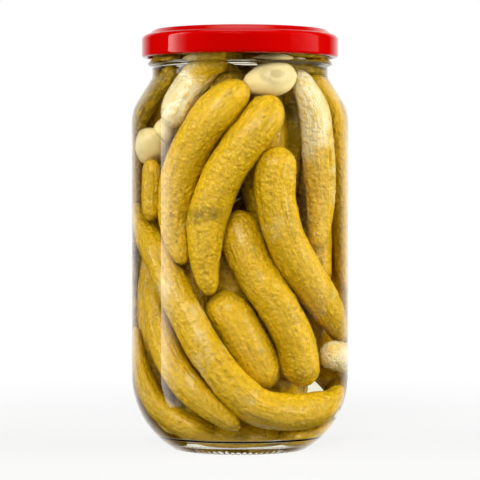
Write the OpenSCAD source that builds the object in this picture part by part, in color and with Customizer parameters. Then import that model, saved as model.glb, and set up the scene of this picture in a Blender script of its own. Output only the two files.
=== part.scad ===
// Preserving jar of clear glass with a twist-off metal lid, filled with brine.
// Millimetres, +Z up, origin at the centre of the ring that the jar stands on.

/* [Glass body] */
// Outer diameter of the straight body
body_d = 94; // [84:0.5:114]
// Height of the glass, from the standing ring to the rim
glass_h = 181.2; // [150:0.1:240]
// Thickness of the side wall
wall = 2.4; // [1.6:0.1:3.2]
// Radius of the round heel below the body
heel_r = 36.5; // [32:0.5:38]
// Outer diameter of the flat ring that the jar stands on
ring_d = 56.4; // [52:0.2:62]
// Radial width of that ring
ring_w = 3; // [2:0.1:5]
// Radius between the heel and the standing ring
foot_r = 2; // [1.5:0.1:3]
// Height of the hollow under the base
punt_h = 2.6; // [1:0.1:4]
// Height of the glass floor above the surface that the jar stands on
floor_t = 4.5; // [3.6:0.1:6]
// How far the floor rises to its middle, over the hollow
floor_rise = 1.2; // [0.5:0.1:2]
// Inner radius between the floor and the heel
floor_r = 8; // [4:0.5:12]

/* [Shoulder and neck] */
// Outer diameter of the neck
neck_d = 76.1; // [60:0.1:76.5]
// Length of the straight neck below the transfer bead
neck_h = 3.4; // [2:0.1:8]
// Slope of the shoulder, from the vertical
shoulder_a = 32; // [25:1:45]
// Outer radius where the shoulder turns into the body
shoulder_r = 18; // [10:0.5:20]
// Outer radius where the neck turns into the shoulder
neck_r = 3.5; // [3:0.5:6]

/* [Finish] */
// Distance from the rim to the underside of the transfer bead
finish_h = 15.9; // [14:0.1:20]
// How far the transfer bead stands out of the neck
bead_out = 1.95; // [1:0.05:2.2]
// Height of the transfer bead
bead_h = 3.7; // [3:0.1:5]
// Radius on both edges of the rim
rim_r = 1.15; // [0.6:0.05:1.15]
// Number of thread starts, and of lugs on the lid
starts = 6; // [4:1:6]
// How far a thread stands out of the finish
thread_out = 1.6; // [1:0.1:1.8]
// Height of a thread at its root
thread_w = 2.6; // [2:0.1:3]
// Height that a thread climbs
thread_rise = 3.6; // [2:0.1:4]
// Share of the way to the next start that one thread covers
thread_share = 0.7; // [0.5:0.01:0.72]

/* [Lid] */
// Gap between the threads and the lid's rolled edge
skirt_gap = 0.55; // [0.3:0.05:1.5]
// Gap between the transfer bead and the lid's rolled edge
bead_gap = 0.4; // [0.2:0.1:2]
// Thickness of the lid's sheet metal
sheet = 0.2; // [0.15:0.05:0.35]
// Radius of the rolled edge
curl_r = 1.2; // [0.9:0.05:1.3]
// Radius of the skirt's upper edge
skirt_top_r = 2.4; // [1:0.1:2.8]
// How far the channel over the rim stands above the skirt's upper edge
channel_h = 2.1; // [1.6:0.1:2.6]
// Radius of the channel's outer edge
channel_r = 1.6; // [1.5:0.1:2]
// Slope of the channel's outer wall, below the horizontal
channel_a = 42; // [35:1:60]
// Radius at the foot of the channel's outer wall
channel_foot_r = 0.8; // [0.5:0.1:1]
// How far inside the rim the channel ends and the step down to the panel begins
channel_in = 1.65; // [1.5:0.05:5]
// Depth of the centre panel below the channel
panel_drop = 1.2; // [0.6:0.1:1.4]
// Radius of both bends in the step
bend_r = 0.8; // [0.7:0.05:1]
// Diameter of the pressed button in the panel
button_d = 24; // [16:0.5:30]
// Height of the button
button_h = 0.6; // [0.3:0.1:0.8]
// Arc that one lug covers, in degrees
lug_arc = 13; // [8:1:16]
// Height of a lug
lug_h = 1.3; // [1:0.1:1.6]
// Gap between a lug and the thread above it
lug_gap = 0.15; // [0.05:0.05:0.3]
// Gap between a lug and the glass beside it
lug_reach_gap = 0.45; // [0.3:0.05:0.8]

/* [Brine] */
// Free height between the brine and the rim
headspace = 7.9; // [6:0.1:14]

/* [Hidden] */

$fn = 128;              // round work
arc_step = 9;           // degrees between the points of an arc in an outline
thread_bite = 0.8;      // how far a thread's root reaches into the glass
edge_a = 50;            // where the hollow meets the ring's rounded inner edge
punt_flat = 8;          // radius of the flat in the middle of the hollow and of the floor

body_rad = body_d / 2;
neck_rad = neck_d / 2;
ring_rad = ring_d / 2;
lid_rad = neck_rad + thread_out + skirt_gap + 2 * curl_r;
lid_h = finish_h - bead_h - bead_gap + sheet;

// Heel: one arc from the body, running into the foot's smaller arc.
heel_x = body_rad - heel_r;
heel_a = acos((ring_rad - heel_x) / (heel_r - foot_r));
heel_z = foot_r + (heel_r - foot_r) * sin(heel_a);

// Floor: the corner's arc touches the inner heel and the floor.
inner_heel_r = heel_r - wall;
corner_a = asin((heel_z - floor_t - floor_r) / (inner_heel_r - floor_r));
corner_x = heel_x + (inner_heel_r - floor_r) * cos(corner_a);

// Neck and shoulder, from the rim down.
bead_z = glass_h - finish_h;
rim_edge_r = min(rim_r, wall / 2 - 0.04);           // the wall limits the rim's edges
neck_z = bead_z - neck_h;
turn_in = (shoulder_r + neck_r) * (1 - cos(shoulder_a));
slope_l = (body_rad - neck_rad - turn_in) / sin(shoulder_a);
shoulder_z = neck_z - (shoulder_r + neck_r) * sin(shoulder_a) - slope_l * cos(shoulder_a);

// Lid: it seats on the rim, and everything in it hangs from its top.
lid_top = glass_h + sheet;
curl_x = lid_rad - curl_r;
curl_z = lid_top - lid_h + curl_r;
curl_turn = 260;                                    // how far round the edge is rolled
skirt_top_z = lid_top - channel_h;
channel_x = neck_rad - rim_edge_r;                  // the channel turns down round the rim
panel_rad = neck_rad - wall - channel_in;
channel_fall = channel_h - (channel_r + channel_foot_r) * (1 - cos(channel_a));
channel_foot_x = channel_x + (channel_r + channel_foot_r) * sin(channel_a)
    + channel_fall / tan(channel_a);
panel_z = lid_top - panel_drop;
step_a = acos(1 - panel_drop / (2 * bend_r));
step_x = panel_rad - 2 * bend_r * sin(step_a);
button_r = (pow(button_d / 2, 2) + pow(button_h, 2)) / (2 * button_h);
button_a = asin(button_d / 2 / button_r);

// Threads: each climbs round the finish, and a lug seats under its lower half.
start_arc = 360 / starts;
thread_arc = start_arc * thread_share;
climb = atan(thread_rise / (neck_rad * thread_arc * PI / 180));
lug_top = curl_z + lug_h / 2;
lug_mid = -thread_arc / 4;                          // counted from the thread's middle
lug_low_a = lug_mid - lug_arc / 2;                  // where the thread comes nearest to the lug
thread_z = lug_top + lug_gap + thread_w / 2 - neck_rad * sin(lug_low_a) * sin(climb);

brine_z = glass_h - headspace;

// Points of an arc, from angle a to angle b.
function arc(x, z, r, a, b) =
    let (n = max(2, ceil(abs(b - a) / arc_step)))
    [for (i = [0:n]) [x + r * cos(a + (b - a) * i / n), z + r * sin(a + (b - a) * i / n)]];

function reversed(list) = [for (i = [len(list) - 1:-1:0]) list[i]];

function smooth(x) = let (c = min(1, max(0, x))) c * c * (3 - 2 * c);

// Side of the glass from the heel's foot up to the neck, t inside the outer surface.
function side(t, foot_angle) = concat(
    arc(heel_x, heel_z, heel_r - t, -foot_angle, 0),
    arc(body_rad - shoulder_r, shoulder_z, shoulder_r - t, 0, shoulder_a),
    arc(neck_rad + neck_r, neck_z, neck_r + t, 180 + shoulder_a, 180)
);

// Underside: the hollow, the standing ring and the foot.
function underside() =
    let (
        run = ring_rad - ring_w - foot_r * cos(edge_a) - punt_flat,
        rise = punt_h - foot_r * (1 - sin(edge_a)),
        r = (pow(run, 2) + pow(rise, 2)) / (2 * rise)
    )
    concat(
        [[0, punt_h]],
        arc(punt_flat, punt_h - r, r, 90, acos(run / r)),
        arc(ring_rad - ring_w, foot_r, foot_r, -180 + edge_a, -90),
        arc(ring_rad, foot_r, foot_r, -90, -heel_a)
    );

// Transfer bead: a cone above, a round nose and a short lower slope.
function bead() =
    let (nose = bead_h * 0.22, x = neck_rad + bead_out - nose, z = bead_z + bead_h * 0.38)
    concat([[neck_rad, bead_z]], arc(x, z, nose, -70, 50), [[neck_rad, bead_z + bead_h]]);

function rim() = concat(
    arc(neck_rad - rim_edge_r, glass_h - rim_edge_r, rim_edge_r, 0, 90),
    arc(neck_rad - wall + rim_edge_r, glass_h - rim_edge_r, rim_edge_r, 90, 180)
);

// Inside of the glass, from the floor's centre up to the neck.
function inside() = concat(
    [[0, floor_t + floor_rise], [punt_flat, floor_t + floor_rise]],
    arc(corner_x, floor_t + floor_r, floor_r, -90, -corner_a),
    side(wall, corner_a)
);

// One thread: a short revolved bar, tilted so that it climbs.
module thread(mid) {
    half = thread_w / 2;
    rotate([0, 0, mid]) translate([0, 0, thread_z]) rotate([climb, 0, 0])
        rotate([0, 0, -thread_arc / 2]) rotate_extrude(angle = thread_arc) polygon([
            [neck_rad - thread_bite, -half], [neck_rad + thread_out, -half * 0.5],
            [neck_rad + thread_out, half * 0.2], [neck_rad - thread_bite, half]
        ]);
}

module jar() {
    color("lightcyan", 0.35) {
        rotate_extrude() polygon(concat(
            underside(), side(0, heel_a), bead(), rim(), reversed(inside())
        ));
        for (i = [0:starts - 1]) thread(i * start_arc);
    }
}

module brine() {
    color("khaki", 0.5) rotate_extrude() polygon(concat(
        inside(), [[neck_rad - wall, brine_z], [0, brine_z]]
    ));
}

// Lid's sheet from the button's centre to the end of the rolled edge, t below its top.
function lid_line(t) = concat(
    arc(0, panel_z + button_h - button_r, button_r - t, 90, 90 - button_a),
    arc(step_x, panel_z + bend_r, bend_r + t, -90, -90 + step_a),
    arc(panel_rad, lid_top - bend_r, bend_r - t, 90 + step_a, 90),
    arc(channel_x, lid_top - channel_r, channel_r - t, 90, 90 - channel_a),
    arc(channel_foot_x, skirt_top_z + channel_foot_r, channel_foot_r + t, 270 - channel_a, 270),
    arc(lid_rad - skirt_top_r, skirt_top_z - skirt_top_r, skirt_top_r - t, 90, 0),
    arc(curl_x, curl_z, curl_r - t, 0, -curl_turn)
);

// A lug, pressed inward from the rolled edge so that it catches a thread.
module lug(mid) {
    inner = neck_rad + lug_reach_gap;
    rotate([0, 0, mid - lug_arc / 2]) rotate_extrude(angle = lug_arc) polygon([
        [curl_x, lug_top - lug_h], [inner + 0.4, lug_top - lug_h],
        [inner, lug_top - lug_h + 0.4], [inner, lug_top - 0.3],
        [inner + 0.3, lug_top], [curl_x, lug_top]
    ]);
}

module lid() {
    color("red") {
        rotate_extrude() polygon(concat(lid_line(0), reversed(lid_line(sheet))));
        for (i = [0:starts - 1]) lug(i * start_arc + lug_mid);
    }
}

jar();
brine();
lid();
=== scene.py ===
import math
import random
from collections import namedtuple

import bmesh
import bpy
import numpy as np
from bpy.props import FloatProperty, FloatVectorProperty, IntProperty, PointerProperty
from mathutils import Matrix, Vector


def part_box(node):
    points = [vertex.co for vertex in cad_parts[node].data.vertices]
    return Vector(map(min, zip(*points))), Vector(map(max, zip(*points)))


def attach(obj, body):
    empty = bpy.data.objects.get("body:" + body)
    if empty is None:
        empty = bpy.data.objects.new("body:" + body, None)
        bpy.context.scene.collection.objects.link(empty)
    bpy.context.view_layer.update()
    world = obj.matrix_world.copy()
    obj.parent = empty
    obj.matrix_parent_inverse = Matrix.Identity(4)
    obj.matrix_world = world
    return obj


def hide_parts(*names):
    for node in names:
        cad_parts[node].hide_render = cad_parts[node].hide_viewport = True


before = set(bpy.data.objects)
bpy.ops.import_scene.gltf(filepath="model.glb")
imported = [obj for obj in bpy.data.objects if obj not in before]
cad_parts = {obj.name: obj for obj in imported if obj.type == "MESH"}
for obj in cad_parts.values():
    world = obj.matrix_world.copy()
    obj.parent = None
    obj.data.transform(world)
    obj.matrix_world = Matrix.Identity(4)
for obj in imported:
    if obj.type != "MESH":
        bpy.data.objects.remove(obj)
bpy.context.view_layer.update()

bl_info = {
    "name": "Pickle Jar",
    "version": (1, 0, 0),
    "blender": (4, 5, 0),
    "location": "3D View > Sidebar > Pickle Jar",
    "description": "A twist-off glass jar of gherkins and garlic in brine",
    "category": "Add Mesh",
}

MM = 0.001
GLASS_IOR = 1.5
BRINE_IOR = 1.345
SMOOTH = {"interpolation_type": "SMOOTHSTEP"}
GLASS_LOW, GLASS_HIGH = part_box("jar")
BRINE_LOW, BRINE_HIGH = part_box("brine")
LID_LOW, LID_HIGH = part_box("lid")


# ---------------------------------------------------------------- settings

def length(name, description, default):
    return FloatProperty(name=name, description=description, default=default, min=0.0,
                         subtype="DISTANCE", unit="LENGTH", precision=5)


def tint(name, description, code):
    """A colour setting whose default is an sRGB hex value."""
    return FloatVectorProperty(name=name, description=description, default=linear(code)[:3],
                               subtype="COLOR", size=3, min=0.0, max=1.0)


def linear(code):
    """A linear RGBA colour from an sRGB hex value such as "c81e14"."""
    def channel(text):
        c = int(text, 16) / 255
        return c / 12.92 if c <= 0.04045 else ((c + 0.055) / 1.055) ** 2.4
    return tuple(channel(code[i:i + 2]) for i in (0, 2, 4)) + (1.0,)


class GlassSettings(bpy.types.PropertyGroup):
    """Sizes of the glass, as in the construction model."""
    body_r: length("Body radius", "Outer radius of the straight body", 47.0 * MM)
    height: length("Height", "From the standing ring to the rim", GLASS_HIGH[2])
    wall: length("Wall", "Thickness of the side wall", 2.4 * MM)
    heel_r: length("Heel radius", "Radius of the round heel", 36.5 * MM)
    ring_r: length("Ring radius", "Outer radius of the standing ring", 28.2 * MM)
    ring_w: length("Ring width", "Radial width of the standing ring", 3.0 * MM)
    foot_r: length("Foot radius", "Radius between the heel and the standing ring", 2.0 * MM)
    punt_h: length("Hollow height", "Height of the hollow under the base", 2.6 * MM)
    floor_t: length("Floor", "Height of the floor at its edge", 4.5 * MM)
    floor_rise: length("Floor rise", "How far the floor rises to its middle", 1.2 * MM)
    floor_r: length("Floor corner", "Radius between the floor and the heel", 8.0 * MM)
    neck_r: length("Neck radius", "Outer radius of the neck", 38.05 * MM)
    neck_h: length("Neck height", "Straight neck below the bead", 3.4 * MM)
    neck_bend: length("Neck bend", "Radius between the neck and the shoulder", 3.5 * MM)
    shoulder_bend: length("Shoulder bend", "Radius between the shoulder and the body", 18.0 * MM)
    shoulder_a: FloatProperty(name="Shoulder slope", description="Slope from the vertical",
                              default=math.radians(32), subtype="ANGLE")
    finish_h: length("Finish height", "From the rim down to the bead's underside", 15.9 * MM)
    bead_out: length("Bead", "How far the bead stands out of the neck", 1.95 * MM)
    bead_h: length("Bead height", "Height of the bead", 3.7 * MM)
    thread_out: length("Thread", "How far a thread stands out of the finish", 1.6 * MM)
    thread_w: length("Thread width", "Height of a thread", 2.2 * MM)
    starts: IntProperty(name="Thread starts", description="Number of threads", default=6)
    wave: length("Wave", "Unevenness of the inner wall, as blown glass has", 0.16 * MM)


class BrineSettings(bpy.types.PropertyGroup):
    """The liquid."""
    level: length("Level", "Height of the liquid's surface", BRINE_HIGH[2])
    overlap: length("Overlap", "How far the liquid reaches into the glass", 0.25 * MM)
    creep: length("Meniscus", "How far the liquid climbs the glass", 1.3 * MM)
    colour: tint("Colour", "Tint of the liquid in depth", "fbf5da")


class LidSettings(bpy.types.PropertyGroup):
    """Sizes and colour of the lid."""
    radius: length("Radius", "Outer radius of the skirt", 42.6 * MM)
    sheet: length("Sheet", "Thickness of the sheet metal", 0.2 * MM)
    curl_r: length("Rolled edge", "Radius of the rolled edge", 1.2 * MM)
    corner_r: length("Corner", "Radius of the skirt's upper edge", 2.4 * MM)
    channel_h: length("Channel height", "Channel above the skirt's upper edge", 2.1 * MM)
    channel_r: length("Channel radius", "Radius of the channel's outer edge", 1.6 * MM)
    channel_x: length("Channel place", "Radius at which the channel turns down", 36.9 * MM)
    channel_a: FloatProperty(name="Channel slope", description="Slope of its outer wall",
                             default=math.radians(42), subtype="ANGLE")
    panel_r: length("Panel radius", "Radius inside the channel", 34.0 * MM)
    panel_drop: length("Panel drop", "Depth of the panel below the channel", 1.2 * MM)
    bend_r: length("Bend", "Radius of the bends between channel and panel", 0.8 * MM)
    button_r: length("Button radius", "Radius of the pressed button", 12.0 * MM)
    button_h: length("Button height", "Height of the pressed button", 0.6 * MM)
    lugs: IntProperty(name="Lugs", description="Lugs that catch the threads", default=6)
    lug_out: length("Lug", "How far a lug reaches in from the rolled edge", 1.7 * MM)
    colour: tint("Colour", "Lacquer on the outside", "dc0402")


class GherkinSettings(bpy.types.PropertyGroup):
    """Skin relief and colours of the gherkins."""
    sides: IntProperty(name="Sides", description="Faces round one gherkin", default=60)
    pitch: length("Pitch", "Distance between rings of faces", 0.8 * MM)
    ridge_w: length("Ridge width", "Distance between ridges along the skin", 3.4 * MM)
    ridge_h: length("Ridge height", "Height of the ridges", 0.6 * MM)
    wart_gap: length("Wart spacing", "Distance between warts", 3.2 * MM)
    wart_h: length("Wart height", "Height of a wart", 0.5 * MM)
    lump_w: length("Lump width", "Distance between broad lumps", 14.0 * MM)
    lump_h: length("Lump height", "Height of the broad lumps", 1.4 * MM)
    skin: tint("Skin", "Yellow-olive of most of the skin", "b49002")
    pale: tint("Pale", "Cream of the pale ends", "d2c69c")
    deep: tint("Deep", "Brown-olive of the darkest skin", "5e4a02")


class GarlicSettings(bpy.types.PropertyGroup):
    """The garlic cloves."""
    flesh: tint("Flesh", "Cream of the clove", "dcca92")
    vein: tint("Vein", "Darker veins and root end", "c4a75c")


SETTINGS = {
    "jar_glass": GlassSettings, "jar_brine": BrineSettings, "jar_lid": LidSettings,
    "jar_gherkins": GherkinSettings, "jar_garlic": GarlicSettings,
}


# ---------------------------------------------------------------- outlines

def arc(x, z, r, start, end, step=6.0):
    """Points of an arc in an outline; angles in degrees."""
    n = max(2, math.ceil(abs(end - start) / step))
    turns = [math.radians(start + (end - start) * i / n) for i in range(n + 1)]
    return [(x + r * math.cos(a), z + r * math.sin(a)) for a in turns]


def heel_of(g):
    """Centre, radius and lowest angle of the heel's arc."""
    x = g.body_r - g.heel_r
    low = math.degrees(math.acos((g.ring_r - x) / (g.heel_r - g.foot_r)))
    return x, g.foot_r + (g.heel_r - g.foot_r) * math.sin(math.radians(low)), low


def floor_corner_of(g):
    """Centre of the floor's corner arc and the angle at which it meets the heel."""
    x, z, _ = heel_of(g)
    reach = g.heel_r - g.wall - g.floor_r
    low = math.asin((z - g.floor_t - g.floor_r) / reach)
    return x + reach * math.cos(low), g.floor_t + g.floor_r, math.degrees(low)


def side(g, inset, low):
    """Side of the glass from the heel up to the neck, inset from the outer surface."""
    x, z, _ = heel_of(g)
    slope = g.shoulder_a
    bends = g.shoulder_bend + g.neck_bend
    run = (g.body_r - g.neck_r - bends * (1 - math.cos(slope))) / math.sin(slope)
    neck_z = g.height - g.finish_h - g.neck_h
    shoulder_z = neck_z - bends * math.sin(slope) - run * math.cos(slope)
    a = math.degrees(slope)
    body = [(g.body_r - inset, z + (shoulder_z - z) * i / 24) for i in range(1, 24)]
    return (arc(x, z, g.heel_r - inset, -low, 0, 3) + body
            + arc(g.body_r - g.shoulder_bend, shoulder_z, g.shoulder_bend - inset, 0, a, 3)
            + arc(g.neck_r + g.neck_bend, neck_z, g.neck_bend + inset, 180 + a, 180))


def inside(g, grow=0.0):
    """Inside of the glass from the floor's middle up to the neck, grown into the wall."""
    x, z, low = floor_corner_of(g)
    middle = g.floor_t + g.floor_rise - grow
    floor = [(0.0, middle), (8 * MM, middle)]
    return floor + arc(x, z, g.floor_r + grow, -90, -low, 2) + side(g, g.wall - grow, low)


def underside(g):
    """Hollow under the base, standing ring and foot."""
    _, _, low = heel_of(g)
    run = g.ring_r - g.ring_w - g.foot_r * math.cos(math.radians(50)) - 8 * MM
    rise = g.punt_h - g.foot_r * (1 - math.sin(math.radians(50)))
    r = (run ** 2 + rise ** 2) / (2 * rise)
    return ([(0.0, g.punt_h)]
            + arc(8 * MM, g.punt_h - r, r, 90, math.degrees(math.acos(run / r)), 2)
            + arc(g.ring_r - g.ring_w, g.foot_r, g.foot_r, -130, -90)
            + arc(g.ring_r, g.foot_r, g.foot_r, -90, -low))


def finish(g):
    """Bead, thread wall and rim."""
    bead_z = g.height - g.finish_h
    nose = g.bead_h * 0.22
    wall_z = bead_z + g.bead_h
    rim_r = g.wall / 2 - 0.05 * MM
    top = g.height - rim_r
    wall = [(g.neck_r, wall_z + (top - wall_z) * i / 30) for i in range(30)]
    return ([(g.neck_r, bead_z)]
            + arc(g.neck_r + g.bead_out - nose, bead_z + g.bead_h * 0.38, nose, -70, 50, 12)
            + wall + arc(g.neck_r - rim_r, top, rim_r, 0, 90, 15)
            + arc(g.neck_r - g.wall + rim_r, top, rim_r, 90, 180, 15))


def smoothstep(low, high, x):
    t = min(1.0, max(0.0, (x - low) / (high - low)))
    return t * t * (3 - 2 * t)


def thread_relief(g, angle, z):
    """How far the threads stand out at an angle and a height."""
    share = 2 * math.pi / g.starts
    u = (angle % share) / share / 0.74
    if u > 1:
        return 0.0
    middle = LID_LOW[2] + 2.7 * MM + 3.6 * MM * smoothstep(0.25, 1.0, u)
    ends = smoothstep(0.0, 0.12, u) * smoothstep(1.0, 0.88, u)
    off = abs(z - middle) / (g.thread_w / 2)
    return g.thread_out * ends * smoothstep(1.3, 0.35, off)


def lathe(name, outline, turns, relief=None):
    """A closed body of revolution; outline runs from the axis to the axis or closes on itself."""
    closed = outline[0][0] > 1e-7
    if not closed:
        outline = outline[1:-1] if outline[-1][0] < 1e-7 else outline[1:]
    verts, faces = [], []
    for j in range(turns):
        a = 2 * math.pi * j / turns
        for r, z in outline:
            if relief:
                r, z = relief(a, r, z)
            verts.append((r * math.sin(a), -r * math.cos(a), z))
    n = len(outline)
    for j in range(turns):
        k = (j + 1) % turns
        for i in range(n if closed else n - 1):
            m = (i + 1) % n
            faces.append((j * n + i, k * n + i, k * n + m, j * n + m))
    if not closed:
        for row in (0, n - 1):
            z = sum(verts[j * n + row][2] for j in range(turns)) / turns
            pole = len(verts)
            verts.append((0.0, 0.0, z))
            for j in range(turns):
                k = (j + 1) % turns
                ring = (j * n + row, k * n + row)
                faces.append((pole, ring[1], ring[0]) if row == 0 else (pole, *ring))
    return add_mesh(name, verts, faces)


def add_mesh(name, verts, faces):
    """An object with outward, smooth faces."""
    mesh = bpy.data.meshes.new(name)
    mesh.from_pydata(verts, [], faces)
    work = bmesh.new()
    work.from_mesh(mesh)
    bmesh.ops.recalc_face_normals(work, faces=work.faces)
    work.to_mesh(mesh)
    work.free()
    mesh.shade_smooth()
    piece = bpy.data.objects.new(name, mesh)
    bpy.context.scene.collection.objects.link(piece)
    return piece


# ---------------------------------------------------------------- materials

def node(tree, kind, settings=None, **sockets):
    """Adds a node. Sockets go by name, or by number as _0, and take a value, an output or a node.

    A node given to a socket stands for its first output in use.
    """
    made = tree.nodes.new(kind)
    for key, value in (settings or {}).items():
        setattr(made, key, value)
    for key, value in sockets.items():
        socket = made.inputs[int(key[1:]) if key[0] == "_" else key.replace("_", " ")]
        if isinstance(value, bpy.types.Node):
            value = next(out for out in value.outputs if out.enabled)
        if isinstance(value, bpy.types.NodeSocket):
            tree.links.new(value, socket)
        else:
            socket.default_value = value
    return made


def ramp(tree, fac, stops, mode="EASE"):
    """A colour ramp with stops of (place, linear colour)."""
    made = node(tree, "ShaderNodeValToRGB", _0=fac)
    made.color_ramp.interpolation = mode
    elements = made.color_ramp.elements
    elements.remove(elements[-1])
    elements[0].position, elements[0].color = stops[0]
    for place, colour in stops[1:]:
        elements.new(place).color = colour
    return made


def mix(tree, share, a, b):
    """Colour b laid over colour a by a share."""
    return node(tree, "ShaderNodeMix", {"data_type": "RGBA"}, _0=share, _6=a, _7=b)


def math_node(tree, operation, a, b=0.0, clamp=False):
    """A sum, product or the like of two values."""
    return node(tree, "ShaderNodeMath", {"operation": operation, "use_clamp": clamp}, _0=a, _1=b)


def new_material(name):
    """An empty material and its tree."""
    material = bpy.data.materials.new(name)
    material.use_nodes = True
    material.node_tree.nodes.clear()
    return material, material.node_tree


def output_clear(tree, shader, **more):
    """Ends a clear material, which lamps shine straight through to light what is inside."""
    path = node(tree, "ShaderNodeLightPath")
    clear = node(tree, "ShaderNodeBsdfTransparent")
    both = node(tree, "ShaderNodeMixShader", _0=path.outputs["Is Shadow Ray"], _1=shader, _2=clear)
    node(tree, "ShaderNodeOutputMaterial", Surface=both, **more)


def glass_dry():
    """Soda-lime glass, blown and fire polished: clear, with sharp reflections."""
    material, tree = new_material("soda_lime_glass")
    where = node(tree, "ShaderNodeTexCoord").outputs["Object"]
    wave = node(tree, "ShaderNodeTexNoise", Vector=where, Scale=1 / (28 * MM), Detail=1.0)
    bump = node(tree, "ShaderNodeBump", Strength=0.12, Distance=0.4 * MM, Height=wave)
    shader = node(tree, "ShaderNodeBsdfPrincipled", Roughness=0.0, IOR=GLASS_IOR,
                  Base_Color=linear("fdfffd"), Normal=bump, Transmission_Weight=1.0)
    output_clear(tree, shader)
    return material


def glass_wet():
    """The inner face of the glass where brine wets it: it bends light but hardly mirrors."""
    material, tree = new_material("soda_lime_glass_wetted")
    white = linear("ffffff")
    bent = node(tree, "ShaderNodeBsdfRefraction", Roughness=0.0, IOR=GLASS_IOR, Color=white)
    turned = node(tree, "ShaderNodeBsdfAnisotropic", Roughness=0.0, Color=white)
    fresnel = node(tree, "ShaderNodeFresnel", IOR=GLASS_IOR)
    # The cube leaves only total reflection, which a wetted face still has at a low angle.
    share = math_node(tree, "POWER", fresnel, 3.0)
    output_clear(tree, node(tree, "ShaderNodeMixShader", _0=share, _1=bent, _2=turned))
    return material


def brine_material(name, mirrors, colour):
    """Clear brine, a little yellow in depth. Its free surface mirrors; its wetted side doesn't."""
    material, tree = new_material(name)
    white = linear("ffffff")
    if mirrors:
        shader = node(tree, "ShaderNodeBsdfPrincipled", Roughness=0.0, IOR=BRINE_IOR,
                      Base_Color=white, Transmission_Weight=1.0)
    else:
        shader = node(tree, "ShaderNodeBsdfRefraction", Roughness=0.0, IOR=BRINE_IOR, Color=white)
    depth = node(tree, "ShaderNodeVolumeAbsorption", Color=(*colour, 1.0), Density=14.0)
    output_clear(tree, shader, Volume=depth)
    return material


def lid_red(colour):
    """Stoved red lacquer on tinplate: deep gloss over faint orange peel."""
    material, tree = new_material("red_lacquered_tinplate")
    where = node(tree, "ShaderNodeTexCoord").outputs["Object"]
    peel = node(tree, "ShaderNodeTexNoise", Vector=where, Scale=1 / (1.6 * MM), Detail=2.0)
    broad = node(tree, "ShaderNodeTexNoise", Vector=where, Scale=1 / (22 * MM), Detail=2.0)
    tone = mix(tree, broad, (*(0.92 * c for c in colour), 1.0), (*colour, 1.0))
    scuff = node(tree, "ShaderNodeMapRange", Value=broad, To_Min=0.04, To_Max=0.08)
    bump = node(tree, "ShaderNodeBump", Strength=0.05, Distance=0.1 * MM, Height=peel)
    shader = node(tree, "ShaderNodeBsdfPrincipled", Base_Color=tone, IOR=1.5, Roughness=scuff,
                  Normal=bump)
    node(tree, "ShaderNodeOutputMaterial", Surface=shader)
    return material


def lid_lining():
    """Gold protective lacquer on the lid's inside: a soft, slightly blotched metal sheen."""
    material, tree = new_material("gold_lacquered_tinplate")
    where = node(tree, "ShaderNodeTexCoord").outputs["Object"]
    broad = node(tree, "ShaderNodeTexNoise", Vector=where, Scale=1 / (9 * MM), Detail=3.0)
    tone = ramp(tree, broad, [(0.3, linear("a8863c")), (0.7, linear("d9bd72"))])
    shader = node(tree, "ShaderNodeBsdfPrincipled", Base_Color=tone, Metallic=0.6, Roughness=0.35)
    node(tree, "ShaderNodeOutputMaterial", Surface=shader)
    return material


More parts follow.
